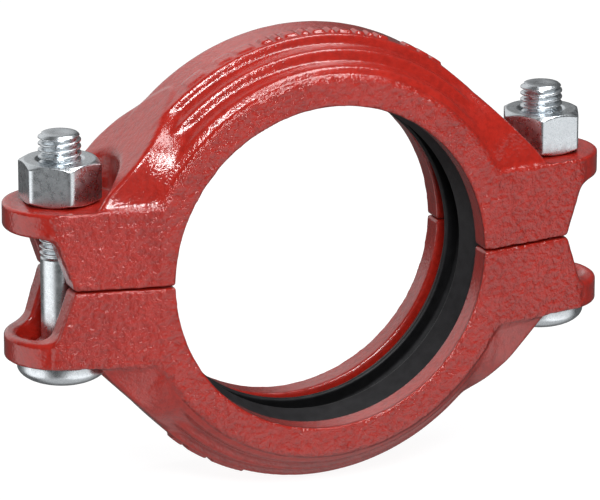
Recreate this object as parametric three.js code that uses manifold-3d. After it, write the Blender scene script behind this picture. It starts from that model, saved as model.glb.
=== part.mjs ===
// Rigid coupling for grooved pipe: two cast housings, a rubber gasket, two track-head bolts
// and two heavy hex nuts. It is shown closed and tightened.
//
// Frame: millimetres, origin at the centre of the bore. Y runs along the pipe, X across the
// two bolt ears, and Z along the bolts, with the nuts up.

import * as THREE from 'three';
import { mergeVertices } from 'three/addons/utils/BufferGeometryUtils.js';
import { ConvexGeometry } from 'three/addons/geometries/ConvexGeometry.js';
import Module from 'manifold-3d';

const wasm = await Module();
wasm.setup();

// Clearances
const TOUCH_GAP = 0.3;                 // between pieces that touch on the real object
const GASKET_GAP = 0.4;                // round the gasket in its channel
const OVERRUN = 5;                     // how far a cutting tool runs past what it cuts
const SHORT_OVERRUN = 1;               // the same, where there is little room
const MERGE_DISTANCE = 1e-4;           // corners closer than this are one corner

// Ring: the keys sit in the pipe's grooves, the channel between them holds the gasket
const KEY_RADIUS = 49.3;
const CHANNEL_RADIUS = 60;
const CHANNEL_HALF_WIDTH = 14;
const RING_HALF_WIDTH = 22;
const CROWN_RADIUS = 68.2;
const CROWN_HALF_WIDTH = 9;
// The flank steps down from the crown in terraces: [radius, distance from the mid-plane]
const FLANK = [
  [CROWN_RADIUS, CROWN_HALF_WIDTH],
  [65.3, 9.9],
  [64.8, 14.6],
  [61.6, 15.7],
  [60.8, 19.6],
  [57.6, RING_HALF_WIDTH],
];
const RING_SEGMENTS = 96;

// Bolt ears
const BOLT_X = 77.2;                   // bolt axis from the bore's centre
const EAR_TOP_Z = 23.6;                // the nut's seat
const EAR_END_RADIUS = 17.2;           // round end, about the bolt axis
const EAR_ROOT_X = 53;                 // where the ear starts to taper
const EAR_INNER_X = 40;                // buried in the ring
const PLATE_RIM_Z = 16.0;              // underside of the plate's rim
const WALL_FOOT_X = 78.8;              // the side walls' outer ends, at the split
const WALL_TOP = [84, 14.8];           // and where they meet the plate: [x, z]
const WALL_FILLET_X = 86.5;
const POCKET_INNER_X = 67.7;
const POCKET_HALF_WIDTH = 9.4;
const POCKET_ROOF_Z = 18.5;
const POCKET_ROUND_X = 80;             // where the pocket's round end starts
const POCKET_ROUND_LENGTH = 11;
const HOLE_HALF_LENGTH = 9.4;          // oval bolt hole, long way across the pipe
const HOLE_HALF_WIDTH = 7.3;
const SCOOP_RADIUS = 17;               // room for a socket round the nut
const SCOOP_TOP_Z = 75;

// Gusset from the crown down to the ear: a roof at 45 degrees, tangent to the crown, that
// flares from the crown's width to nearly the ear's. Its edges: [x, distance from mid-plane]
const ROOF_START = CROWN_RADIUS * Math.SQRT1_2;
const ROOF_FOOT = 2 * ROOF_START - EAR_TOP_Z;
const ROOF_EDGE = [
  [ROOF_START, CROWN_HALF_WIDTH],
  [53.7, 14.9],
  [59.8, 17.6],
  [ROOF_FOOT, 16.2],
];

// Gasket: C-shaped section, with two lips that lean in towards the mid-plane
const GASKET_RADIUS = CHANNEL_RADIUS - GASKET_GAP;
const GASKET_HALF_WIDTH = CHANNEL_HALF_WIDTH - GASKET_GAP;
const GASKET_HALF_OUTLINE = [
  [GASKET_RADIUS, GASKET_HALF_WIDTH],
  [52.6, GASKET_HALF_WIDTH],
  [51.6, 13.0],
  [47.9, 5.4],
  [48.6, 4.6],
  [54.0, 8.6],
  [56.6, 7.6],
];
const GASKET_SEGMENTS = 72;

// Bolts, half-inch thread, and heavy hex nuts
const BOLT_RADIUS = 6.35;
const SHANK_RADIUS = 6.15;
const THREAD_START_Z = 5.7;
const BOLT_END_Z = 44;
const BOLT_CHAMFER = 1.0;
const NECK_HALF_LENGTH = 9.0;
const NECK_HALF_WIDTH = 6.9;
const HEAD_RADIUS = 13.5;
const HEAD_RIM = 2.4;
const HEAD_HEIGHT = 8;
const DOME_STEPS = 5;
const NUT_ACROSS_FLATS = 22.2;
const NUT_HEIGHT = 12.3;
const NUT_CHAMFER = 1.2;               // how far the chamfer comes down each corner
const NUT_FACE_INSET = 0.3;            // from the flats in to the chamfer's start
const NUT_TURN = { left: 26.6, right: 8 };   // how far each nut ended up turned, degrees
const ROUND_SEGMENTS = 32;

// ---- Helpers ---------------------------------------------------------------------------

function toManifold(geometry) {
  const bare = geometry.index ? geometry.toNonIndexed() : geometry.clone();
  bare.deleteAttribute('normal');
  bare.deleteAttribute('uv');
  const merged = mergeVertices(bare, MERGE_DISTANCE);
  const index = merged.index.array;
  const kept = [];
  for (let i = 0; i < index.length; i += 3) {
    const [a, b, c] = [index[i], index[i + 1], index[i + 2]];
    if (a !== b && b !== c && c !== a) kept.push(a, b, c);
  }
  return new wasm.Manifold(new wasm.Mesh({
    numProp: 3,
    vertProperties: new Float32Array(merged.attributes.position.array),
    triVerts: new Uint32Array(kept),
  }));
}

function toGeometry(manifold) {
  const mesh = manifold.getMesh();
  const geometry = new THREE.BufferGeometry();
  geometry.setAttribute('position', new THREE.BufferAttribute(mesh.vertProperties, 3));
  geometry.setIndex(new THREE.BufferAttribute(mesh.triVerts, 1));
  geometry.computeVertexNormals();
  return geometry;
}

// A section [radius, height] turned about the Y axis
function turned(section, segments) {
  const points = section.map(([radius, height]) => new THREE.Vector2(radius, height));
  return new THREE.LatheGeometry(points, segments);
}

// The same, stood up so that the section's height runs along Z
function turnedUpright(section, segments) {
  return turned(section, segments).rotateX(Math.PI / 2);
}

// An outline in the XY plane raised from z = bottom to z = top
function raised(shape, bottom, top, curveSegments = 12) {
  const geometry = new THREE.ExtrudeGeometry(shape, {
    depth: top - bottom,
    bevelEnabled: false,
    curveSegments,
  });
  return geometry.translate(0, 0, bottom);
}

// An outline of [x, z] points stretched along Y to both sides
function acrossY(points, halfWidth) {
  const shape = new THREE.Shape(points.map(([x, z]) => new THREE.Vector2(x, z)));
  const depth = 2 * halfWidth;
  const geometry = new THREE.ExtrudeGeometry(shape, { depth, bevelEnabled: false });
  return geometry.rotateX(Math.PI / 2).translate(0, halfWidth, 0);
}

// ---- Housing ---------------------------------------------------------------------------

function ringBlank() {
  const front = FLANK.map(([radius, width]) => [radius, -width]).reverse();
  const inner = KEY_RADIUS - OVERRUN;
  const section = [[inner, -RING_HALF_WIDTH], ...front, ...FLANK, [inner, RING_HALF_WIDTH]];
  return turned([...section, section[0]], RING_SEGMENTS);
}

function pipeSpace() {
  const end = RING_HALF_WIDTH + OVERRUN;
  return turned([
    [0, -end],
    [KEY_RADIUS, -end],
    [KEY_RADIUS, -CHANNEL_HALF_WIDTH],
    [CHANNEL_RADIUS, -CHANNEL_HALF_WIDTH],
    [CHANNEL_RADIUS, CHANNEL_HALF_WIDTH],
    [KEY_RADIUS, CHANNEL_HALF_WIDTH],
    [KEY_RADIUS, end],
    [0, end],
  ], RING_SEGMENTS);
}

// The ear seen from above: it tapers from the ring's width to its round end
function earPlan() {
  const rootToBolt = Math.hypot(BOLT_X - EAR_ROOT_X, RING_HALF_WIDTH);
  const towardsRoot = Math.atan2(RING_HALF_WIDTH, EAR_ROOT_X - BOLT_X);
  const tangent = towardsRoot - Math.acos(EAR_END_RADIUS / rootToBolt);
  const plan = new THREE.Shape();
  plan.moveTo(EAR_INNER_X, -RING_HALF_WIDTH);
  plan.lineTo(EAR_ROOT_X, -RING_HALF_WIDTH);
  plan.absarc(BOLT_X, 0, EAR_END_RADIUS, -tangent, tangent, false);
  plan.lineTo(EAR_ROOT_X, RING_HALF_WIDTH);
  plan.lineTo(EAR_INNER_X, RING_HALF_WIDTH);
  return plan;
}

// The gusset grows out of the ring's section on the radial plane at 45 degrees
function gusset() {
  const corners = [];
  for (const side of [-1, 1]) {
    for (const [x, width] of ROOF_EDGE) {
      corners.push(new THREE.Vector3(x, side * width, 2 * ROOF_START - x));
    }
    for (const [radius, width] of FLANK) {
      const along = radius * Math.SQRT1_2;
      corners.push(new THREE.Vector3(along, side * width, along));
    }
    const buried = EAR_TOP_Z - OVERRUN;
    corners.push(new THREE.Vector3(EAR_ROOT_X, side * RING_HALF_WIDTH, EAR_TOP_Z));
    corners.push(new THREE.Vector3(EAR_ROOT_X, side * CROWN_HALF_WIDTH, buried));
    corners.push(new THREE.Vector3(EAR_INNER_X, side * CROWN_HALF_WIDTH, EAR_INNER_X));
  }
  return new ConvexGeometry(corners);
}

function pocketPlan() {
  const plan = new THREE.Shape();
  const quarter = Math.PI / 2;
  plan.moveTo(POCKET_INNER_X, -POCKET_HALF_WIDTH);
  plan.lineTo(POCKET_ROUND_X, -POCKET_HALF_WIDTH);
  plan.absellipse(
    POCKET_ROUND_X, 0, POCKET_ROUND_LENGTH, POCKET_HALF_WIDTH, -quarter, quarter, false, 0);
  plan.lineTo(POCKET_INNER_X, POCKET_HALF_WIDTH);
  return plan;
}

function ovalPlan(halfLength, halfWidth) {
  const plan = new THREE.Shape();
  plan.absellipse(BOLT_X, 0, halfLength, halfWidth, 0, 2 * Math.PI, false, 0);
  return plan;
}

// What is cut out of the ear: everything past the side walls' ends below the plate, the
// pocket that the bolt stands in, the oval bolt hole, and the scoop round the nut
function earCuts() {
  const past = BOLT_X + EAR_END_RADIUS + OVERRUN;
  const wallSlope = (WALL_TOP[0] - WALL_FOOT_X) / WALL_TOP[1];
  const wallEnds = acrossY([
    [WALL_FOOT_X - wallSlope * OVERRUN, -OVERRUN],
    [past, -OVERRUN],
    [past, PLATE_RIM_Z],
    [WALL_FILLET_X, PLATE_RIM_Z],
    WALL_TOP,
  ], RING_HALF_WIDTH + OVERRUN);
  const pocket = raised(pocketPlan(), -OVERRUN, POCKET_ROOF_Z);
  const holePlan = ovalPlan(HOLE_HALF_LENGTH, HOLE_HALF_WIDTH);
  const hole = raised(
    holePlan, POCKET_ROOF_Z - SHORT_OVERRUN, EAR_TOP_Z + SHORT_OVERRUN, ROUND_SEGMENTS);
  const scoop = turnedUpright([
    [0, EAR_TOP_Z],
    [SCOOP_RADIUS, EAR_TOP_Z],
    [SCOOP_RADIUS, SCOOP_TOP_Z],
    [0, SCOOP_TOP_Z],
  ], ROUND_SEGMENTS).translate(BOLT_X, 0, 0);
  return [wallEnds, pocket, hole, scoop].map(toManifold);
}

function ear() {
  const plate = toManifold(raised(earPlan(), 0, EAR_TOP_Z));
  return earCuts().reduce((solid, cut) => solid.subtract(cut), plate.add(toManifold(gusset())));
}

function upperHalfSpace() {
  const reach = BOLT_X + EAR_END_RADIUS + OVERRUN;
  return new THREE.BoxGeometry(2 * reach, 2 * reach, reach)
    .translate(0, 0, reach / 2 + TOUCH_GAP / 2);
}

// The right ear's scoop bites into the ring as well, so the ring is cut before the ears join
function housing() {
  const rightEar = ear();
  const leftEar = toManifold(toGeometry(rightEar).rotateZ(Math.PI));
  const scoops = earCuts().slice(-1)[0];
  const otherScoop = toManifold(toGeometry(scoops).rotateZ(Math.PI));
  const ring = toManifold(ringBlank()).subtract(scoops).subtract(otherScoop);
  const solid = ring.add(rightEar).add(leftEar).subtract(toManifold(pipeSpace()));
  return toGeometry(solid.intersect(toManifold(upperHalfSpace())));
}

// ---- Gasket, bolts and nuts ------------------------------------------------------------

function gasket() {
  const front = GASKET_HALF_OUTLINE.map(([radius, width]) => [radius, -width]);
  const rear = [...GASKET_HALF_OUTLINE].reverse();
  const section = [...rear, ...front].reverse();
  return turned([...section, section[0]], GASKET_SEGMENTS);
}

function bolt() {
  const headTop = -EAR_TOP_Z - TOUCH_GAP;
  const headBottom = headTop - HEAD_HEIGHT;
  const domeHeight = HEAD_HEIGHT - HEAD_RIM;
  const dome = [];
  for (let step = 0; step <= DOME_STEPS; step += 1) {
    const angle = (step / DOME_STEPS) * (Math.PI / 2);
    const rise = domeHeight * (1 - Math.cos(angle));
    dome.push([HEAD_RADIUS * Math.sin(angle), headBottom + rise]);
  }
  const spindle = turnedUpright([
    ...dome,
    [HEAD_RADIUS, headTop],
    [SHANK_RADIUS, headTop],
    [SHANK_RADIUS, THREAD_START_Z],
    [BOLT_RADIUS, THREAD_START_Z + (BOLT_RADIUS - SHANK_RADIUS)],
    [BOLT_RADIUS, BOLT_END_Z - BOLT_CHAMFER],
    [BOLT_RADIUS - BOLT_CHAMFER, BOLT_END_Z],
    [0, BOLT_END_Z],
  ], ROUND_SEGMENTS);
  const neckPlan = ovalPlan(NECK_HALF_LENGTH, NECK_HALF_WIDTH);
  const neck = raised(neckPlan, headTop - SHORT_OVERRUN, -POCKET_ROOF_Z, ROUND_SEGMENTS)
    .translate(-BOLT_X, 0, 0);
  return toGeometry(toManifold(spindle).add(toManifold(neck)));
}

function nut() {
  const corner = NUT_ACROSS_FLATS / Math.sqrt(3);
  const corners = [];
  for (let side = 0; side < 6; side += 1) {
    const angle = (side * Math.PI) / 3;
    corners.push(new THREE.Vector2(corner * Math.cos(angle), corner * Math.sin(angle)));
  }
  const plan = new THREE.Shape(corners);
  const bore = new THREE.Path();
  bore.absarc(0, 0, BOLT_RADIUS + TOUCH_GAP, 0, 2 * Math.PI, true);
  plan.holes.push(bore);
  const faceRadius = NUT_ACROSS_FLATS / 2 - NUT_FACE_INSET;
  const envelope = turnedUpright([
    [0, 0],
    [faceRadius, 0],
    [corner + TOUCH_GAP, NUT_CHAMFER],
    [corner + TOUCH_GAP, NUT_HEIGHT - NUT_CHAMFER],
    [faceRadius, NUT_HEIGHT],
    [0, NUT_HEIGHT],
  ], ROUND_SEGMENTS);
  const hexagon = raised(plan, 0, NUT_HEIGHT, ROUND_SEGMENTS / 2);
  return toGeometry(toManifold(hexagon).intersect(toManifold(envelope)));
}

// ---- Assembly --------------------------------------------------------------------------

const redEnamel = { color: 0xa8322e, roughness: 0.35, metalness: 0 };
const blackRubber = { color: 0x1c1c1e, roughness: 0.7, metalness: 0 };
const zincPlate = { color: 0xb9bfc4, roughness: 0.35, metalness: 1 };

function piece(name, geometry, finish) {
  const mesh = new THREE.Mesh(geometry, new THREE.MeshStandardMaterial(finish));
  mesh.name = name;
  return mesh;
}

const coupling = new THREE.Group();
coupling.add(piece('upper_housing', housing(), redEnamel));

const lower = piece('lower_housing', housing(), redEnamel);
lower.rotation.y = Math.PI;
coupling.add(lower);

coupling.add(piece('gasket', gasket(), blackRubber));

for (const [side, x] of [['left', -BOLT_X], ['right', BOLT_X]]) {
  const boltMesh = piece(`bolt_${side}`, bolt(), zincPlate);
  boltMesh.position.x = x;
  const nutMesh = piece(`nut_${side}`, nut(), zincPlate);
  nutMesh.position.set(x, 0, EAR_TOP_Z + TOUCH_GAP);
  nutMesh.rotation.z = THREE.MathUtils.degToRad(NUT_TURN[side]);
  coupling.add(boltMesh, nutMesh);
}

export default coupling;
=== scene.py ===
import math

import bpy
import numpy as np
import openvdb
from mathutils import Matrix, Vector


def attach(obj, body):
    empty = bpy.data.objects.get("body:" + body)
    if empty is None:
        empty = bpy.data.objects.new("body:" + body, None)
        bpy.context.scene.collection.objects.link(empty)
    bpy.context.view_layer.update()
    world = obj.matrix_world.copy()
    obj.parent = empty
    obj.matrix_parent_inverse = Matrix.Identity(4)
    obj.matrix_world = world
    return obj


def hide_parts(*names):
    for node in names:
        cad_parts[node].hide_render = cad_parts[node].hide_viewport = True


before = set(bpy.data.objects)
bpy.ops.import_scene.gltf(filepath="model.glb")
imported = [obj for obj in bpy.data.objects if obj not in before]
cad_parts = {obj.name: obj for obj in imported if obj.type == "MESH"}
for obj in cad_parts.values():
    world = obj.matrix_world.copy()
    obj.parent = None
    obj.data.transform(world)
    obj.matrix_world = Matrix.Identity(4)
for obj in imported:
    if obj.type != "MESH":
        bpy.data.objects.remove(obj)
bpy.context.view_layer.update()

# A rigid grooved-pipe coupling. Lengths are millimetres until a mesh is made. X runs across the
# pipe, Y along it and Z along the bolts, with the nuts up.

MM = 0.001

# Ring: two keys with the gasket's channel between them, and a flank that steps down in terraces
KEY_RADIUS = 49.3
CHANNEL_RADIUS = 60.0
CHANNEL_HALF_WIDTH = 14.0
RING_HALF_WIDTH = 22.0
CROWN_RADIUS = 68.2
CROWN_HALF_WIDTH = 9.0
FACE_RADIUS = 57.6
FLANK = [
    (CROWN_RADIUS, CROWN_HALF_WIDTH),
    (65.3, 9.9),
    (64.8, 14.6),
    (61.6, 15.7),
    (60.8, 19.6),
    (FACE_RADIUS, RING_HALF_WIDTH),
]
SPLIT_GAP = 0.3

# Bolt ears
BOLT_X = 77.2
EAR_TOP_Z = 23.6
EAR_END_RADIUS = 17.2
EAR_ROOT_X = 53.0
WALL_ENDS = [(77.0, -5.0), (78.8, 0.0), (84.0, 14.8), (87.0, 16.0), (110.0, 16.0), (110.0, -5.0)]
POCKET_INNER_X = 67.7
POCKET_HALF_WIDTH = 9.4
POCKET_ROOF_Z = 18.5
POCKET_ROUND_X = 80.0
POCKET_ROUND_LENGTH = 11.0
HOLE_HALF_LENGTH = 9.4
HOLE_HALF_WIDTH = 7.3
SCOOP_RADIUS = 17.0

# Gusset: a roof at 45 degrees, tangent to the crown, that flares from the crown to the ear
ROOF_START = CROWN_RADIUS * math.sqrt(0.5)
ROOF_EDGE = [(40.0, 2.0), (ROOF_START, CROWN_HALF_WIDTH), (53.7, 14.9), (59.8, 17.6), (73.0, 16.2)]
FACE_CORNER = 3.5               # soft corner where the ring's face runs into the ear's top
FLANK_RUN_ON = 9.0              # how far the flank runs on over the terraces
FLANK_SET_BACK = 0.35           # how far behind the front face the flank starts

# Plain raised blocks along the front of the crown, where a foundry puts its casting marks. Each row
# is the arc where it starts, the blocks' half widths, the gap between them and how far they stand up.
UPPER_MARKS = [
    (-42.5, (3.5,), 1.7, 0.4),
    (-31.0, (2.4, 2.9), 1.5, 0.4),
    (-16.5, (1.6, 1.0, 2.1, 1.2, 2.0, 1.0, 2.3, 1.4, 1.0, 1.9), 1.1, 0.8),
    (30.5, (2.0, 1.7, 1.9), 1.1, 0.8),
]
LOWER_MARKS = [(22.9, (5.7, 3.7, 2.2), 1.6, 0.9)]
MARK_Y = -4.6
MARK_HALF_HEIGHT = 2.6

# How round the casting's edges and the corners between its parts are
OUTLINE_BLUR = 0.5
PIPE_SPACE_BLUR = 0.4
WALL_END_BLUR = 1.1
ROOF_SIDE_EDGE = 1.1
ROOF_END_EDGE = 2.0
GUSSET_FILLET = 0.6
MARK_EDGE = 0.7
MARK_FILLET = 0.4
SCOOP_EDGE = 1.6
PLATE_FILLET = 0.7
PLAN_EDGE = 0.7
WALL_END_EDGE = 1.3
POCKET_ROUNDING = 3.0
POCKET_EDGE = 1.0
HOLE_EDGE = 0.5
BORE_EDGE = 0.8
SPLIT_EDGE = 1.1

SCOOP_DEPTH = 5.0               # how far below the ear's top the scoop round the nut would reach
PLATE_INNER_X = 40.0            # where the ear's flat top starts, inside the gusset
FLANK_FALL = 0.012              # how fast the flank falls back where it runs on over the terraces
MARK_ROOT = 2.0                 # how far below the crown the blocks are rooted
HOLE_OVERLAP = 3.0              # how far the bolt's hole reaches into the pocket

# The skin: bump heights and widths, and the depth behind the front face where its pits end
SKIN_FADE = (0.35, 1.1)
LUMPS = [(0.06, 4.0, 11), (0.05, 2.2, 12)]     # height, width, seed
GRAIN = (0.15, 1.7, 13)
LUMPS_BEHIND = 0.3              # share of the lumps that is left on the other surfaces
LUMPS_FACE_ON = 0.9

VOXEL = 0.6
CASTING_LOW = (-96.0, -23.4, -1.2)
CASTING_HIGH = (96.0, 23.4, 70.8)


# ---- Distance fields -------------------------------------------------------------------------

def round_max(a, b, radius):
    """Where both solids are, with the edge between them rounded."""
    over = np.hypot(np.maximum(a + radius, 0.0), np.maximum(b + radius, 0.0))
    return np.minimum(np.maximum(a, b), -radius) + over


def round_min(a, b, radius):
    """Both solids together, with a fillet between them."""
    return -round_max(-a, -b, radius)


def polygon_distance(points, u, v):
    """Signed distance to a closed outline, negative inside."""
    nearest = np.full(u.shape, 1e9)
    inside = np.zeros(u.shape, bool)
    for (u0, v0), (u1, v1) in zip(points, points[1:] + points[:1]):
        du, dv = u1 - u0, v1 - v0
        along = np.clip(((u - u0) * du + (v - v0) * dv) / (du * du + dv * dv), 0.0, 1.0)
        nearest = np.minimum(nearest, np.hypot(u - u0 - along * du, v - v0 - along * dv))
        if dv:
            crosses = ((v0 > v) != (v1 > v)) & (u < u0 + (v - v0) * du / dv)
            inside ^= crosses
    return np.where(inside, -nearest, nearest)


class SoftOutline:
    """A closed outline whose corners are all softened by the same blur."""

    STEP = 0.15

    def __init__(self, points, blur, low, high):
        self.low = low
        count = [int((high[i] - low[i]) / self.STEP) + 1 for i in (0, 1)]
        axes = [low[i] + self.STEP * np.arange(count[i]) for i in (0, 1)]
        u, v = np.meshgrid(*axes, indexing="ij")
        field = polygon_distance(points, u, v)
        reach = int(3 * blur / self.STEP) + 1
        kernel = np.exp(-0.5 * (np.arange(-reach, reach + 1) * self.STEP / blur) ** 2)
        kernel /= kernel.sum()
        for axis in (0, 1):
            pad = [(reach, reach) if i == axis else (0, 0) for i in (0, 1)]
            padded = np.pad(field, pad, mode="edge")
            field = np.apply_along_axis(np.convolve, axis, padded, kernel, "valid")
        self.field = field

    def __call__(self, u, v):
        shape = self.field.shape
        cell_u = np.clip((u - self.low[0]) / self.STEP, 0, shape[0] - 1.001)
        cell_v = np.clip((v - self.low[1]) / self.STEP, 0, shape[1] - 1.001)
        i, j = cell_u.astype(int), cell_v.astype(int)
        fu, fv = cell_u - i, cell_v - j
        f = self.field
        near = f[i, j] * (1 - fu) + f[i + 1, j] * fu
        far = f[i, j + 1] * (1 - fu) + f[i + 1, j + 1] * fu
        return near * (1 - fv) + far * fv


# ---- Housing casting -------------------------------------------------------------------------

def ear_taper():
    """The angle that each side of the ear turns in by, so that it meets the ear's round end."""
    root_to_bolt = math.hypot(BOLT_X - EAR_ROOT_X, RING_HALF_WIDTH)
    towards_bolt = math.atan2(RING_HALF_WIDTH, BOLT_X - EAR_ROOT_X)
    return towards_bolt - math.asin(EAR_END_RADIUS / root_to_bolt)


def ear_half_width(x):
    """Half the ear's width where its sides are straight."""
    return RING_HALF_WIDTH - np.maximum(x - EAR_ROOT_X, 0.0) * math.tan(ear_taper())


def ear_plan():
    """The housing seen from above, as an outline in x and y."""
    start = math.pi / 2 - ear_taper()
    arc = [start * (1 - step / 24) for step in range(24)]
    side = [(BOLT_X + EAR_END_RADIUS * math.cos(a), EAR_END_RADIUS * math.sin(a)) for a in arc]
    upper = [(-30.0, RING_HALF_WIDTH), (EAR_ROOT_X, RING_HALF_WIDTH)] + side
    lower = [(x, -y) for x, y in reversed(upper)]
    return upper + [(BOLT_X + EAR_END_RADIUS, 0.0)] + lower


def flank_outline():
    """The ring's section in radius and distance from the mid-plane, run on past its face."""
    past_face = [(FACE_RADIUS, 40.0), (30.0, 40.0), (30.0, -10.0), (CROWN_RADIUS, -10.0)]
    return FLANK + past_face


def pipe_space_outline():
    """The bore and the gasket's channel, run past the face and the mid-plane."""
    return [
        (20.0, -10.0), (CHANNEL_RADIUS, -10.0), (CHANNEL_RADIUS, CHANNEL_HALF_WIDTH),
        (KEY_RADIUS, CHANNEL_HALF_WIDTH), (KEY_RADIUS, 40.0), (20.0, 40.0),
    ]


PLAN = SoftOutline(ear_plan(), OUTLINE_BLUR, (0.0, 0.0), (100.0, 30.0))
RING = SoftOutline(flank_outline(), OUTLINE_BLUR, (38.0, 0.0), (78.0, 30.0))
PIPE_SPACE = SoftOutline(pipe_space_outline(), PIPE_SPACE_BLUR, (38.0, 0.0), (70.0, 30.0))
WALL_END_CUT = SoftOutline(WALL_ENDS, WALL_END_BLUR, (60.0, -3.0), (100.0, 40.0))


def roof_half_width():
    """The roof's half width along its slope, as a smooth table of x and width."""
    x = np.linspace(30.0, 90.0, 601)
    width = np.interp(x, *zip(*ROOF_EDGE))
    kernel = np.exp(-0.5 * (np.linspace(-4.0, 4.0, 81) / 1.4) ** 2)
    padded = np.pad(width, 40, mode="edge")
    return x, np.convolve(padded, kernel / kernel.sum(), "valid")


ROOF_TABLE = roof_half_width()


def gusset_field(x, y, z):
    """The flared web from the crown down to the ear, for x and y of 0 or more."""
    root2 = math.sqrt(2.0)
    above_roof = (x + z) / root2 - CROWN_RADIUS
    face_edge = round_min(np.hypot(x, z) - FACE_RADIUS, z - EAR_TOP_Z, FACE_CORNER)
    span = np.maximum(face_edge - above_roof, 1.0)
    up = np.clip(face_edge / span, 0.0, 1.0)
    ridge = np.interp((x - z) / 2 + ROOF_START, *ROOF_TABLE)
    face = ear_half_width(x) - FLANK_SET_BACK
    slope = (face - ridge) / span
    flank = (y - face + up * (face - ridge)) / np.sqrt(1.0 + slope * slope)
    past_start = (z - x) / root2
    flank = flank + FLANK_FALL * np.maximum(past_start, 0.0) ** 2
    body = round_max(above_roof, flank, ROOF_SIDE_EDGE)
    return round_max(body, past_start - FLANK_RUN_ON, ROOF_END_EDGE)


def crown_marks(x, y, z, rows):
    """The raised blocks, which are on the front only."""
    arc = np.arctan2(x, z) * CROWN_RADIUS
    radius = np.hypot(x, z)
    across = np.abs(y - MARK_Y) - MARK_HALF_HEIGHT
    marks = np.full(x.shape, 9.0)
    for start, half_widths, gap, rise in rows:
        for half_width in half_widths:
            centre = start + half_width
            block = round_max(np.abs(arc - centre) - half_width, across, MARK_EDGE)
            block = round_max(block, radius - CROWN_RADIUS - rise, MARK_EDGE)
            marks = np.minimum(marks, np.maximum(block, CROWN_RADIUS - MARK_ROOT - radius))
            start = centre + half_width + gap
    return marks


def pocket_field(x, y, z):
    """The space the bolt stands in, with a rounded end and a rounded roof."""
    past_round = np.maximum(x - POCKET_ROUND_X, 0.0) * POCKET_HALF_WIDTH / POCKET_ROUND_LENGTH
    plan = round_max(np.hypot(past_round, y) - POCKET_HALF_WIDTH, POCKET_INNER_X - x, POCKET_ROUNDING)
    return round_max(plan, z - POCKET_ROOF_Z, POCKET_ROUNDING)


def housing_field(x, y, z, rows):
    """A housing, negative inside. All but its marks is alike on both sides of x and of y."""
    marks = crown_marks(x, y, z, rows)
    x, y = np.abs(x), np.abs(y)
    from_bolt = np.hypot(x - BOLT_X, y)
    radius = np.hypot(x, z)
    body = round_min(RING(radius, y), gusset_field(x, y, z), GUSSET_FILLET)
    body = round_min(body, marks, MARK_FILLET)
    scoop = np.maximum(from_bolt - SCOOP_RADIUS, EAR_TOP_Z - SCOOP_DEPTH - z)
    body = round_max(body, -scoop, SCOOP_EDGE)
    plate = np.maximum(z - EAR_TOP_Z, PLATE_INNER_X - x)
    body = round_min(body, plate, PLATE_FILLET)
    body = round_max(body, PLAN(x, y), PLAN_EDGE)
    body = round_max(body, -WALL_END_CUT(x, z), WALL_END_EDGE)
    body = round_max(body, -pocket_field(x, y, z), POCKET_EDGE)
    oval = (np.hypot((x - BOLT_X) / HOLE_HALF_LENGTH, y / HOLE_HALF_WIDTH) - 1) * HOLE_HALF_WIDTH
    body = round_max(body, -np.maximum(oval, POCKET_ROOF_Z - HOLE_OVERLAP - z), HOLE_EDGE)
    body = round_max(body, -PIPE_SPACE(radius, y), BORE_EDGE)
    return round_max(body, SPLIT_GAP / 2 - z, SPLIT_EDGE)


def lattice_noise(points, size, seed):
    """Smooth noise from -1 to 1 with bumps about size across."""
    lattice = np.random.default_rng(seed).uniform(-1.0, 1.0, (32, 32, 32))
    cell = points / size
    base = np.floor(cell).astype(int)
    part = cell - base
    part = part * part * (3.0 - 2.0 * part)
    total = np.zeros(len(points))
    for corner in np.ndindex(2, 2, 2):
        at = (base + corner) % 32
        weight = np.prod(np.where(corner, part, 1.0 - part), axis=1)
        total += weight * lattice[at[:, 0], at[:, 1], at[:, 2]]
    return total


def gradient(field, points):
    """The field's slope at each point."""
    step = 0.05
    sides = []
    for axis in range(3):
        ahead, behind = points.copy(), points.copy()
        ahead[:, axis] += step
        behind[:, axis] -= step
        sides.append((field(*ahead.T) - field(*behind.T)) / (2 * step))
    return np.stack(sides, axis=1)


def surface_of(field, low, high):
    """Points and quads of the field's zero surface."""
    axes = [np.arange(low[i], high[i] + VOXEL, VOXEL) for i in range(3)]
    values = field(*np.meshgrid(*axes, indexing="ij"))
    grid = openvdb.FloatGrid(3.0)
    grid.copyFromArray(values.astype(np.float32))
    points, quads = grid.convertToQuads()
    points = points.astype(float) * VOXEL + np.array(low)
    for _ in range(3):
        slope = gradient(field, points)
        steepness = np.maximum((slope * slope).sum(axis=1), 0.2)
        shift = slope * (field(*points.T) / steepness)[:, None]
        points -= np.clip(shift, -0.5 * VOXEL, 0.5 * VOXEL)
    return points, quads


def cast_skin(points, normals):
    """The casting's uneven skin, rougher on its front and rear faces."""
    behind_face = ear_half_width(np.abs(points[:, 0])) - np.abs(points[:, 1])
    face_on = 1.0 - np.clip((behind_face - SKIN_FADE[0]) / (SKIN_FADE[1] - SKIN_FADE[0]), 0.0, 1.0)
    lumps = sum(height * lattice_noise(points, size, seed) for height, size, seed in LUMPS)
    grain = GRAIN[0] * lattice_noise(points, *GRAIN[1:])
    lumps = lumps * (LUMPS_BEHIND + LUMPS_FACE_ON * face_on)
    return points + normals * (lumps + grain * face_on)[:, None]


def make_mesh(name, points, faces, material, smooth=True):
    mesh = bpy.data.meshes.new(name)
    mesh.from_pydata((np.asarray(points) * MM).tolist(), [], [list(map(int, f)) for f in faces])
    mesh.materials.append(material)
    mesh.polygons.foreach_set("use_smooth", [smooth] * len(mesh.polygons))
    mesh.update()
    mesh.validate()
    piece = bpy.data.objects.new(name, mesh)
    bpy.context.scene.collection.objects.link(piece)
    return piece


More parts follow.
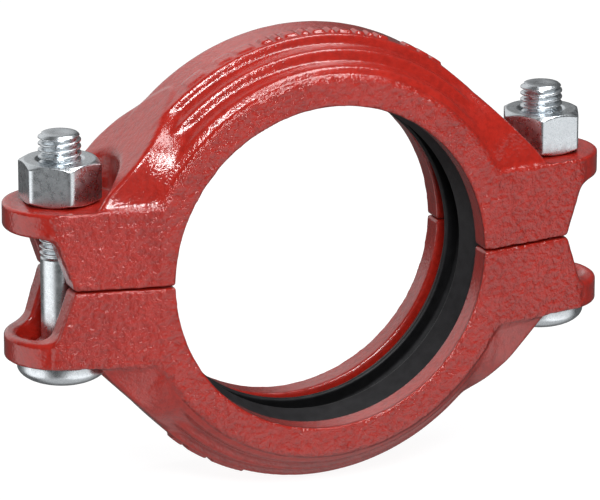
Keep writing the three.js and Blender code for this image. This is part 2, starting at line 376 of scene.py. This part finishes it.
def signed_volume(points, quads):
    a, b, c, d = (points[quads[:, i]] for i in range(4))
    first = np.einsum("ij,ij->i", a, np.cross(b, c))
    second = np.einsum("ij,ij->i", a, np.cross(c, d))
    return (first + second).sum() / 6


def outward(points, quads):
    return quads if signed_volume(points, quads) > 0 else quads[:, ::-1]


# ---- Turned pieces ---------------------------------------------------------------------------

def closed_loop_quads(rings, columns):
    """Quads of a surface that closes on itself both ways, from rings of columns points."""
    index = np.arange(rings * columns).reshape(rings, columns)
    across = np.roll(index, -1, axis=1)
    quads = [index, across, np.roll(across, -1, axis=0), np.roll(index, -1, axis=0)]
    return np.stack(quads, axis=-1).reshape(-1, 4)


def rounded(points, radius, steps=4):
    """The closed outline with each corner cut back and rounded by a short curve."""
    points = [np.array(p, float) for p in points]
    smooth = []
    for index, corner in enumerate(points):
        before = points[index - 1] - corner
        after = points[(index + 1) % len(points)] - corner
        cut = min(radius, 0.45 * np.linalg.norm(before), 0.45 * np.linalg.norm(after))
        start = corner + before / np.linalg.norm(before) * cut
        end = corner + after / np.linalg.norm(after) * cut
        for step in range(steps + 1):
            t = step / steps
            smooth.append((1 - t) ** 2 * start + 2 * t * (1 - t) * corner + t * t * end)
    return np.array(smooth)


def finer(outline, longest):
    """The closed outline with points added, so no edge is longer than longest."""
    filled = []
    for start, end in zip(outline, np.roll(outline, -1, axis=0)):
        parts = max(1, int(np.ceil(np.linalg.norm(end - start) / longest)))
        filled += [start + (end - start) * part / parts for part in range(parts)]
    return np.array(filled)


# Gasket section: [radius, distance from the mid-plane] of one half
GASKET_RADIUS = CHANNEL_RADIUS - 0.4
GASKET_HALF_WIDTH = CHANNEL_HALF_WIDTH - 0.4
GASKET_HALF = [
    (GASKET_RADIUS, GASKET_HALF_WIDTH),
    (52.6, GASKET_HALF_WIDTH),
    (51.3, 12.6),
    (47.9, 5.4),
    (48.7, 4.6),
    (54.0, 8.6),
    (56.6, 7.6),
]


def gasket_mesh(material):
    section = [(r, -w) for r, w in GASKET_HALF] + [(r, w) for r, w in reversed(GASKET_HALF)]
    outline = finer(rounded(section, 0.5), 1.2)
    columns = 320
    angle = np.linspace(0, 2 * math.pi, columns, endpoint=False)
    radius, across = outline[:, :1], outline[:, 1:]
    points = np.stack([
        radius * np.sin(angle),
        across + 0 * angle,
        radius * np.cos(angle),
    ], axis=-1).reshape(-1, 3)
    quads = outward(points, closed_loop_quads(len(outline), columns))
    return make_mesh("gasket_ring", points, quads, material)


# Half-inch coarse thread
BOLT_RADIUS = 6.35
PITCH = 25.4 / 13
THREAD_DEPTH = 1.15
SHANK_RADIUS = 6.15
THREAD_START_Z = 5.7
BOLT_END_Z = 44.0
NECK_HALF_LENGTH = 9.0
NECK_HALF_WIDTH = 6.9
HEAD_RADIUS = 13.5
HEAD_HEIGHT = 8.0
TOUCH_GAP = 0.3
DOME_HEIGHT = 5.4
DOME_STEPS = 14
THREAD_RUN_OUT = 3.0            # the length over which the thread starts
END_RADIUS = 5.35               # at the chamfered end of the bolt


def thread_wave(height, angle):
    """From 0 at the thread's root to 1 on its crest, for a right-handed thread."""
    turn = (height / PITCH - angle / (2 * math.pi)) % 1.0
    flank = 1.0 - np.abs(turn - 0.5) * 2.0
    return np.clip(flank * 1.45 - 0.14, 0.0, 1.0)


def bolt_radius(height, angle):
    """The bolt's radius at a height and an angle, from the top of its head to its end."""
    oval = 1 / np.hypot(np.cos(angle) / NECK_HALF_LENGTH, np.sin(angle) / NECK_HALF_WIDTH)
    neck_top = -POCKET_ROOF_Z - 0.6
    start = np.clip((height - THREAD_START_Z) / THREAD_RUN_OUT, 0.0, 1.0)
    crest = SHANK_RADIUS + (BOLT_RADIUS - SHANK_RADIUS) * start
    threaded = crest - THREAD_DEPTH * start * (1.0 - thread_wave(height, angle))
    plain = np.where(height < neck_top, oval, SHANK_RADIUS)
    blend = np.clip((height - neck_top + 0.4) / 0.8, 0.0, 1.0)
    plain = np.where(np.abs(height - neck_top) < 0.4, oval + (SHANK_RADIUS - oval) * blend, plain)
    chamfer = END_RADIUS + (BOLT_END_Z - height) * 1.1
    return np.minimum(np.where(start > 0, threaded, plain), np.maximum(chamfer, 0.0))


def bolt_mesh(name, x, material):
    columns = 96
    angle = np.linspace(0, 2 * math.pi, columns, endpoint=False)
    head_top = -EAR_TOP_Z - TOUCH_GAP
    head_bottom = head_top - HEAD_HEIGHT
    dome = []
    for step in range(1, DOME_STEPS + 1):
        sweep = step / DOME_STEPS * math.pi / 2
        dome.append((HEAD_RADIUS * math.sin(sweep) ** 0.9, DOME_HEIGHT * (1 - math.cos(sweep))))
    rings = [(0.02, head_bottom)] + [(r, head_bottom + rise) for r, rise in dome]
    rings += [(HEAD_RADIUS, head_top - 0.9), (HEAD_RADIUS - 0.15, head_top - 0.3)]
    rings += [(HEAD_RADIUS - 0.6, head_top), (10.2, head_top)]
    stacks = [np.stack([r * np.cos(angle), r * np.sin(angle), z + 0 * angle], 1) for r, z in rings]
    coarse = np.linspace(head_top, THREAD_START_Z - 3.0, 40)
    fine = np.arange(THREAD_START_Z - 2.9, BOLT_END_Z, PITCH / 14)
    for z in np.concatenate([coarse, fine, [BOLT_END_Z]]):
        r = bolt_radius(z, angle)
        stacks.append(np.stack([r * np.cos(angle), r * np.sin(angle), z + 0 * angle], 1))
    for share, rise in ((0.96, 0.1), (0.8, 0.16), (0.55, 0.2), (0.36, 0.05), (0.2, 0.0), (0.01, 0.0)):
        r = share * bolt_radius(BOLT_END_Z, angle)
        z = BOLT_END_Z + rise
        stacks.append(np.stack([r * np.cos(angle), r * np.sin(angle), z + 0 * angle], 1))
    points = np.concatenate(stacks)
    index = np.arange(len(points)).reshape(len(stacks), columns)
    across = np.roll(index, -1, axis=1)
    quads = np.stack([index[:-1], across[:-1], across[1:], index[1:]], axis=-1).reshape(-1, 4)
    faces = quads.tolist() + [index[0][::-1].tolist(), index[-1].tolist()]
    points[:, 0] += x
    return make_mesh(name, points, faces, material)


NUT_ACROSS_FLATS = 22.2
NUT_HEIGHT = 12.3
NUT_TURN = {"left": 26.6, "right": 8.0}      # degrees


def nut_mesh(name, x, turn, material):
    """Heavy hex nut, chamfered on both faces, with a countersunk and threaded bore."""
    columns = 192
    angle = np.linspace(0, 2 * math.pi, columns, endpoint=False)
    base = EAR_TOP_Z + TOUCH_GAP
    sector = (angle - math.radians(turn)) % (math.pi / 3) - math.pi / 6
    flat = NUT_ACROSS_FLATS / 2 / np.cos(sector)
    corner = NUT_ACROSS_FLATS / math.sqrt(3)
    flat = -np.logaddexp(-flat * 9, -(corner - 0.25) * 9) / 9
    face_radius = NUT_ACROSS_FLATS / 2 - 0.35
    edge = [0.0, 0.12, 0.3, 0.5, 0.7, 0.9, 1.1, 1.3, 1.5, 1.8]
    middle = list(np.linspace(2.4, NUT_HEIGHT - 2.4, 6))
    rings = []
    for z in edge + middle + [NUT_HEIGHT - e for e in reversed(edge)]:
        inset = min(z, NUT_HEIGHT - z)
        cone = face_radius + inset / math.tan(math.radians(30))
        softened = -np.logaddexp(-flat * 12, -cone * 12) / 12
        rings.append((softened, z))
    for radius in (face_radius - 0.5, 9.0, 7.6, 7.2):
        rings.append((radius + 0 * angle, NUT_HEIGHT))
    for z in np.arange(NUT_HEIGHT - 0.4, 0.39, -PITCH / 10):
        groove = BOLT_RADIUS + 0.12 - THREAD_DEPTH * (1 - thread_wave(z + base, angle))
        inset = min(z, NUT_HEIGHT - z)
        mouth = 7.2 - inset * 1.4
        rings.append((np.maximum(groove, mouth), z))
    for radius in (7.2, 7.6, 9.0, face_radius - 0.5):
        rings.append((radius + 0 * angle, 0.0))
    cos, sin = np.cos(angle), np.sin(angle)
    stacks = [np.stack([r * cos + x, r * sin, z + base + 0 * angle], 1) for r, z in rings]
    points = np.concatenate(stacks)
    quads = outward(points - [x, 0, 0], closed_loop_quads(len(rings), columns))
    return make_mesh(name, points, quads, material)


# ---- Materials -------------------------------------------------------------------------------

def new_material(name):
    material = bpy.data.materials.new(name)
    material.use_nodes = True
    nodes = material.node_tree.nodes
    return material, nodes, material.node_tree.links, nodes["Principled BSDF"]


def noise_node(nodes, links, scale, detail, roughness=0.5):
    coordinates = nodes.new("ShaderNodeTexCoord")
    noise = nodes.new("ShaderNodeTexNoise")
    noise.inputs["Scale"].default_value = scale
    noise.inputs["Detail"].default_value = detail
    noise.inputs["Roughness"].default_value = roughness
    links.new(coordinates.outputs["Object"], noise.inputs["Vector"])
    return noise.outputs["Fac"]


def ramp_node(nodes, links, source, stops):
    ramp = nodes.new("ShaderNodeValToRGB")
    ramp.color_ramp.elements[0].position = stops[0][0]
    ramp.color_ramp.elements[0].color = stops[0][1]
    ramp.color_ramp.elements[1].position = stops[-1][0]
    ramp.color_ramp.elements[1].color = stops[-1][1]
    for position, colour in stops[1:-1]:
        ramp.color_ramp.elements.new(position).color = colour
    links.new(source, ramp.inputs["Fac"])
    return ramp.outputs["Color"]


def bump_node(nodes, links, source, strength, distance, under=None):
    bump = nodes.new("ShaderNodeBump")
    bump.inputs["Strength"].default_value = strength
    bump.inputs["Distance"].default_value = distance
    links.new(source, bump.inputs["Height"])
    if under is not None:
        links.new(under, bump.inputs["Normal"])
    return bump.outputs["Normal"]


def math_node(nodes, links, operation, first, second):
    node = nodes.new("ShaderNodeMath")
    node.operation = operation
    for socket, value in zip(node.inputs, (first, second)):
        if isinstance(value, float):
            socket.default_value = value
        else:
            links.new(value, socket)
    return node.outputs["Value"]


def range_node(nodes, links, source, low, high, to_low, to_high):
    node = nodes.new("ShaderNodeMapRange")
    node.interpolation_type = "SMOOTHSTEP"
    for name, value in (("From Min", low), ("From Max", high), ("To Min", to_low), ("To Max", to_high)):
        node.inputs[name].default_value = value
    links.new(source, node.inputs["Value"])
    return node.outputs["Result"]


def multiply_node(nodes, links, first, second):
    mix = nodes.new("ShaderNodeMix")
    mix.data_type = "RGBA"
    mix.blend_type = "MULTIPLY"
    mix.inputs["Factor"].default_value = 1.0
    links.new(first, mix.inputs["A"])
    links.new(second, mix.inputs["B"])
    return mix.outputs["Result"]


def face_on_mask(nodes, links, low, high):
    """From high on the castings' front and rear faces to low on what lies behind those."""
    coordinates = nodes.new("ShaderNodeTexCoord")
    split = nodes.new("ShaderNodeSeparateXYZ")
    links.new(coordinates.outputs["Object"], split.inputs["Vector"])
    along_ear = math_node(nodes, links, "ABSOLUTE", split.outputs["X"], 0.0)
    along_ear = math_node(nodes, links, "SUBTRACT", along_ear, EAR_ROOT_X * MM)
    along_ear = math_node(nodes, links, "MAXIMUM", along_ear, 0.0)
    turned_in = math_node(nodes, links, "MULTIPLY", along_ear, math.tan(ear_taper()))
    across = math_node(nodes, links, "ABSOLUTE", split.outputs["Y"], 0.0)
    across = math_node(nodes, links, "ADD", across, turned_in)
    start, end = [(RING_HALF_WIDTH - depth) * MM for depth in SKIN_FADE]
    return range_node(nodes, links, across, end, start, low, high)


def red_enamel():
    """Red enamel over a sand casting: deep red, glossy, pitted on the front and rear faces."""
    material, nodes, links, shader = new_material("red_enamel")
    tone = noise_node(nodes, links, 60.0, 5.0)
    stops = [(0.3, (0.31, 0.0115, 0.0060, 1)), (0.7, (0.37, 0.0150, 0.0080, 1))]
    colour = ramp_node(nodes, links, tone, stops)
    # Painted shade and painted highlight: the colour is darkened in creases and hollow corners, and
    # made lighter and paler on sharp edges, standing in for shade and for edge highlights.
    edge = nodes.new("ShaderNodeNewGeometry").outputs["Pointiness"]
    crease_shade_edge_highlight = ramp_node(nodes, links, edge, [
        (0.42, (0.55, 0.50, 0.50, 1)), (0.49, (1.0, 1.0, 1.0, 1)),
        (0.53, (1.0, 1.0, 1.0, 1)), (0.60, (1.12, 1.25, 1.25, 1))])
    # Painted shade: the noise that pits the front and rear faces also darkens the colour where it dips,
    # so the hollows of the pits are painted darker.
    casting = noise_node(nodes, links, 560.0, 4.0, 0.55)
    pit_shade = ramp_node(nodes, links, casting, [(0.36, (0.80, 0.78, 0.78, 1)), (0.56, (1, 1, 1, 1))])
    shade = multiply_node(nodes, links, colour, crease_shade_edge_highlight)
    links.new(multiply_node(nodes, links, shade, pit_shade), shader.inputs["Base Color"])
    gloss = noise_node(nodes, links, 260.0, 3.0)
    gloss_stops = [(0.3, (0.34, 0.34, 0.34, 1)), (0.75, (0.48, 0.48, 0.48, 1))]
    links.new(ramp_node(nodes, links, gloss, gloss_stops), shader.inputs["Roughness"])
    pitted = math_node(nodes, links, "MULTIPLY", casting, face_on_mask(nodes, links, 0.14, 1.0))
    peel = noise_node(nodes, links, 1300.0, 2.0)
    under = bump_node(nodes, links, pitted, 1.0, 0.0009)
    surface = bump_node(nodes, links, peel, 0.5, 0.00022, under)
    links.new(surface, shader.inputs["Normal"])
    links.new(surface, shader.inputs["Coat Normal"])
    shader.inputs["Specular IOR Level"].default_value = 0.15
    shader.inputs["Coat Weight"].default_value = 1.0
    shader.inputs["Coat Roughness"].default_value = 0.07
    shader.inputs["Coat IOR"].default_value = 1.55
    return material


def black_rubber():
    material, nodes, links, shader = new_material("black_rubber")
    tone = noise_node(nodes, links, 300.0, 5.0)
    stops = [(0.25, (0.012, 0.012, 0.013, 1)), (0.8, (0.024, 0.024, 0.026, 1))]
    links.new(ramp_node(nodes, links, tone, stops), shader.inputs["Base Color"])
    shader.inputs["Roughness"].default_value = 0.5
    shader.inputs["Specular IOR Level"].default_value = 0.25
    grain = noise_node(nodes, links, 2200.0, 4.0)
    links.new(bump_node(nodes, links, grain, 0.3, 0.0002), shader.inputs["Normal"])
    return material


def zinc_plate():
    """Bright zinc over forged and rolled steel: bluish, with fine pits and faint smears."""
    material, nodes, links, shader = new_material("zinc_plate")
    shader.inputs["Metallic"].default_value = 1.0
    pits = noise_node(nodes, links, 2400.0, 6.0, 0.7)
    stops = [(0.34, (0.52, 0.56, 0.59, 1)), (0.50, (0.69, 0.73, 0.76, 1)), (0.7, (0.78, 0.81, 0.84, 1))]
    links.new(ramp_node(nodes, links, pits, stops), shader.inputs["Base Color"])
    wear = noise_node(nodes, links, 500.0, 4.0, 0.6)
    rough = [(0.3, (0.22, 0.22, 0.22, 1)), (0.75, (0.38, 0.38, 0.38, 1))]
    links.new(ramp_node(nodes, links, wear, rough), shader.inputs["Roughness"])
    grain = noise_node(nodes, links, 2000.0, 4.0, 0.6)
    links.new(bump_node(nodes, links, grain, 0.14, 0.0002), shader.inputs["Normal"])
    return material


# ---- Assembly --------------------------------------------------------------------------------

def place(piece, node, body):
    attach(piece, body)
    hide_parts(node)


def build_housing(name, marks, turn, node, body, material):
    """One casting, modelled as the upper one and then turned into place."""
    def field(x, y, z):
        return housing_field(x, y, z, marks)

    points, quads = surface_of(field, CASTING_LOW, CASTING_HIGH)
    normals = gradient(field, points)
    normals /= np.maximum(np.linalg.norm(normals, axis=1), 1e-6)[:, None]
    points = cast_skin(points, normals)
    casting = make_mesh(name, points * turn, outward(points, quads), material)
    place(casting, node, body)


def build_housings(material):
    upright, turned_over = [1.0, 1.0, 1.0], [-1.0, 1.0, -1.0]
    build_housing("upper_casting", UPPER_MARKS, upright, "upper_housing", "upper_half", material)
    build_housing("lower_casting", LOWER_MARKS, turned_over, "lower_housing", "lower_half", material)


def build_fasteners(material):
    for side, x in (("left", -BOLT_X), ("right", BOLT_X)):
        bolt = bolt_mesh(f"track_bolt_{side}", x, material)
        place(bolt, f"bolt_{side}", "lower_half")
        nut = nut_mesh(f"hex_nut_{side}", x, NUT_TURN[side], material)
        place(nut, f"nut_{side}", f"{side}_nut")


def build_gasket(material):
    place(gasket_mesh(material), "gasket", "seal")


# ---- Stage, light and camera -----------------------------------------------------------------

def build_floor():
    """A white floor that only the camera sees: the studio round the object lights it."""
    material, nodes, links, shader = new_material("pale_floor")
    shader.inputs["Base Color"].default_value = (0.16, 0.16, 0.16, 1)
    shader.inputs["Roughness"].default_value = 0.9
    shader.inputs["Specular IOR Level"].default_value = 0.0
    shader.inputs["Emission Color"].default_value = (1, 1, 1, 1)
    shader.inputs["Emission Strength"].default_value = 0.93
    size = 6000.0
    z = -CROWN_RADIUS - 1.1
    corners = [(-size, -size, z), (size, -size, z), (size, size, z), (-size, size, z)]
    floor = make_mesh("floor", corners, [(0, 1, 2, 3)], material, smooth=False)
    floor.visible_diffuse = False
    floor.visible_glossy = False
    floor.visible_shadow = False


def towards(azimuth, elevation):
    """A direction from the object, with azimuth counted from +X towards +Y."""
    a, e = math.radians(azimuth), math.radians(elevation)
    return Vector((math.cos(a) * math.cos(e), math.sin(a) * math.cos(e), math.sin(e)))


# A dark room over a white table. Each soft panel of the room and each lit patch of the table has an
# azimuth, an elevation, the angles to its full and to its faded edge, and a brightness.
ROOM_DARK = 0.08
ROOM_PANELS = {
    "back": (105.0, 20.0, 20.0, 44.0, 0.75),
}
TABLE_DARK = 0.10
TABLE_PATCHES = {
    "under": (-68.0, -70.0, 34.0, 56.0, 0.45),
    "front right": (-58.0, -18.0, 28.0, 50.0, 0.90),
    "left": (176.0, -18.0, 22.0, 42.0, 1.30),
}
TABLE_EDGE = (-5.0, -1.0)        # elevations between which the table ends and the room starts


def panel_glow(nodes, links, direction, base, panels):
    """The brightness of a group of panels, on top of what is between them."""
    total = base
    for azimuth, elevation, full, faded, brightness in panels.values():
        facing = nodes.new("ShaderNodeVectorMath")
        facing.operation = "DOT_PRODUCT"
        facing.inputs[1].default_value = towards(azimuth, elevation)
        links.new(direction, facing.inputs[0])
        edge = (math.cos(math.radians(faded)), math.cos(math.radians(full)))
        panel = range_node(nodes, links, facing.outputs["Value"], *edge, 0.0, brightness)
        total = math_node(nodes, links, "ADD", panel, total)
    return total


def build_world():
    world = bpy.data.worlds.new("studio")
    bpy.context.scene.world = world
    world.use_nodes = True
    nodes, links = world.node_tree.nodes, world.node_tree.links
    direction = nodes.new("ShaderNodeTexCoord").outputs["Generated"]
    room = panel_glow(nodes, links, direction, ROOM_DARK, ROOM_PANELS)
    table = panel_glow(nodes, links, direction, TABLE_DARK, TABLE_PATCHES)
    split = nodes.new("ShaderNodeSeparateXYZ")
    links.new(direction, split.inputs["Vector"])
    edge = [math.sin(math.radians(elevation)) for elevation in TABLE_EDGE]
    below = range_node(nodes, links, split.outputs["Z"], *edge, 1.0, 0.0)
    above = math_node(nodes, links, "SUBTRACT", 1.0, below)
    table = math_node(nodes, links, "MULTIPLY", table, below)
    room = math_node(nodes, links, "MULTIPLY", room, above)
    total = math_node(nodes, links, "ADD", room, table)
    links.new(total, nodes["Background"].inputs["Color"])


def area_light(name, azimuth, elevation, distance, size, power):
    direction = towards(azimuth, elevation)
    data = bpy.data.lights.new(name, "AREA")
    data.shape = "RECTANGLE"
    data.size, data.size_y = size
    data.energy = power
    light = bpy.data.objects.new(name, data)
    light.location = direction * distance
    light.rotation_mode = "QUATERNION"
    light.rotation_quaternion = (-direction).to_track_quat("-Z", "Y")
    bpy.context.scene.collection.objects.link(light)


def build_lights():
    area_light("key_softbox", -108.0, 38.0, 1.3, (0.42, 0.42), 14.5)
    area_light("top_softbox", -40.0, 74.0, 1.3, (1.3, 0.36), 15.0)


CAMERA_AZIMUTH = -22.0
CAMERA_ELEVATION = 16.4
CAMERA_DISTANCE = 1500.0
VIEW_WIDTH = 179.64              # what the camera takes in at the bore's centre
BORE_OFF_CENTRE = (1.437, 0.21)  # how far right of and above the view's centre the bore's is


def build_camera():
    a, e = math.radians(CAMERA_AZIMUTH), math.radians(CAMERA_ELEVATION)
    back = Vector((math.sin(a) * math.cos(e), -math.cos(a) * math.cos(e), math.sin(e)))
    right = Vector((math.cos(a), math.sin(a), 0.0))
    up = back.cross(right)
    aim = -right * BORE_OFF_CENTRE[0] - up * BORE_OFF_CENTRE[1]
    data = bpy.data.cameras.new("camera")
    data.sensor_width = 36.0
    data.lens = CAMERA_DISTANCE * data.sensor_width / VIEW_WIDTH
    data.clip_end = 100.0
    camera = bpy.data.objects.new("camera", data)
    camera.location = (aim + back * CAMERA_DISTANCE) * MM
    camera.rotation_mode = "QUATERNION"
    camera.rotation_quaternion = (-back).to_track_quat("-Z", "Y")
    bpy.context.scene.collection.objects.link(camera)
    bpy.context.scene.camera = camera


build_housings(red_enamel())
build_gasket(black_rubber())
build_fasteners(zinc_plate())
build_floor()
build_world()
build_lights()
build_camera()
bpy.context.scene.view_settings.view_transform = "Standard"
